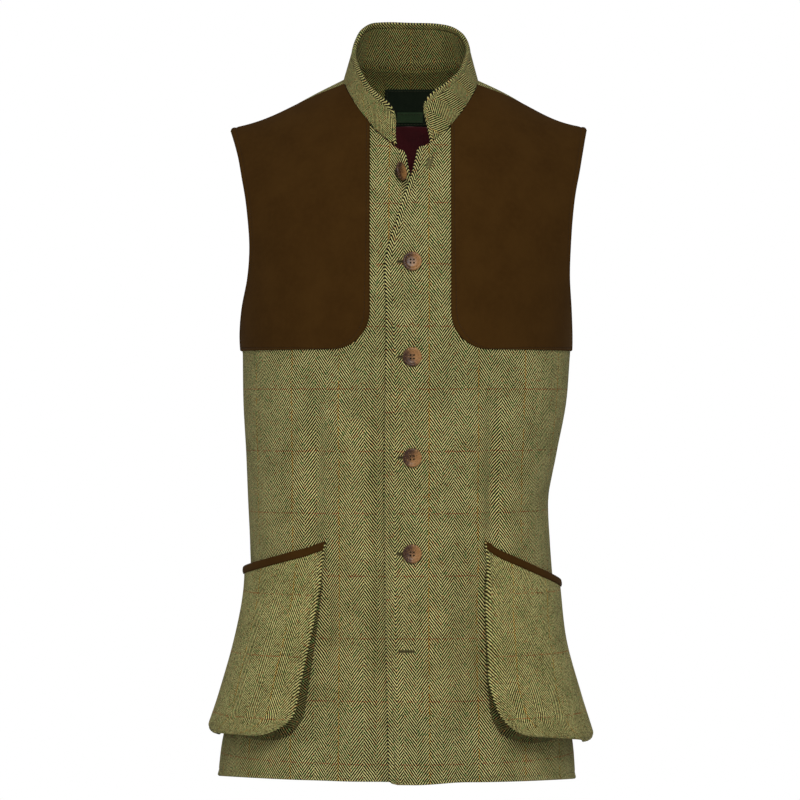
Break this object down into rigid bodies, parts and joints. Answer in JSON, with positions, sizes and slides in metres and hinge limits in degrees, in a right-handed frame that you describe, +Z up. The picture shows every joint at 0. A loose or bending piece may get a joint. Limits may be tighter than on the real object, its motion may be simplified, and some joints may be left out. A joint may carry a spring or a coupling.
{
  "type": "shooting vest",
  "caption": "Sleeveless herringbone tweed vest in its worn, hollow form, with a stand collar, suede chest patches, bellows pockets and a buttoned front.",
  "frame": {"origin": "on the shoulders, midway between the two points where the shoulder seams meet the collar", "axes": "+X to the wearer's left, -Y to the front, +Z up"},
  "size_m": [0.4218, 0.3035, 0.8344],
  "materials": {
    "tweed": "brushed wool, matte",
    "suede": "suede nap, matte",
    "lining_satin": "satin weave",
    "horn": "polished horn",
    "label_green": "woven, matte",
    "tag_green": "woven, matte"
  },
  "bodies": {
    "root": {"back_left_skirt": "tweed", "back_left_waist": "tweed", "back_left_chest": "tweed", "back_right_skirt": "tweed", "back_right_waist": "tweed", "back_right_chest": "tweed", "front_overlap_skirt": "tweed", "front_overlap_waist": "tweed", "front_overlap_chest": "tweed", "front_underlap_skirt": "tweed", "front_underlap_waist": "tweed", "front_underlap_chest": "tweed", "collar": "tweed", "pocket_panel_left": "tweed", "pocket_panel_right": "tweed", "pocket_gusset_left": "tweed", "pocket_gusset_right": "tweed", "neck_facing": "tweed", "shoulder_patch_left": "suede", "shoulder_patch_right": "suede", "pocket_trim_left": "suede", "pocket_trim_right": "suede", "lining_back": "lining_satin", "neck_label": "label_green", "neck_label_tag": "tag_green", "button_1": "horn", "button_2": "horn", "button_3": "horn", "button_4": "horn", "button_5": "horn"}
  },
  "joints": []
}
